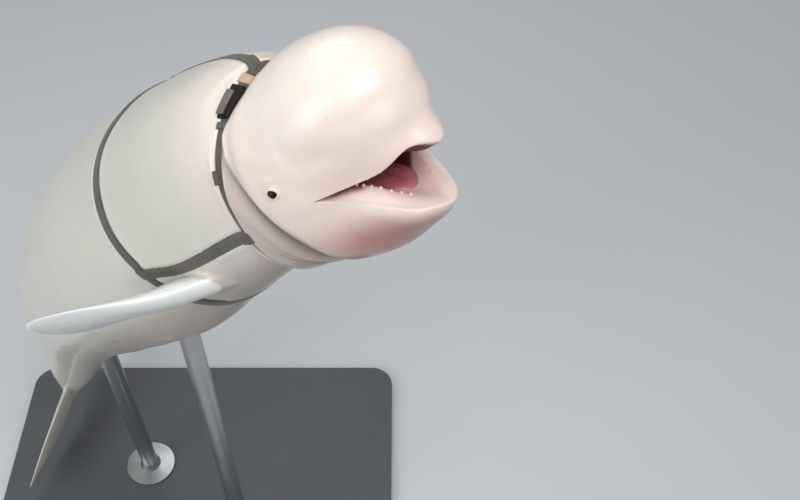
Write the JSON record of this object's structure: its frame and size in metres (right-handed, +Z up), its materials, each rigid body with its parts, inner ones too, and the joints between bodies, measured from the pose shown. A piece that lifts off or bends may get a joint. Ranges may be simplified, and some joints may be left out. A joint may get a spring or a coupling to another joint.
{
  "type": "beluga whale model",
  "caption": "Life-size still museum model of a white whale rising upright with its mouth open and a webbing harness, held on a flat base by upright rods",
  "frame": {"origin": "centre of the bounding box at the underside of the base", "axes": "+Z up; the pictured side is seen looking along +Y from above; the head points to +X and -Y"},
  "size_m": [2.2778, 1.9652, 3.7098],
  "materials": {
    "skin": "wet white to cream skin",
    "mouth": "wet red flesh",
    "eye": "dark and shiny",
    "webbing": "worn dark woven webbing",
    "buckle": "black",
    "rod": "satin",
    "base": "satin dark grey"
  },
  "bodies": {
    "root": {"head": "skin", "lower_jaw": "skin", "tongue": "mouth", "eye_left": "eye", "eye_right": "eye", "neck": "skin", "torso": "skin", "tail_stock": "skin", "fluke_left": "skin", "fluke_right": "skin", "flipper_left": "skin", "flipper_right": "skin", "harness_neck_strap": "webbing", "harness_girth_strap": "webbing", "harness_side_strap_left": "webbing", "harness_side_strap_right": "webbing", "harness_buckle": "buckle", "stand_rod_front": "rod", "stand_rod_rear": "rod", "stand_base": "base"}
  },
  "joints": []
}
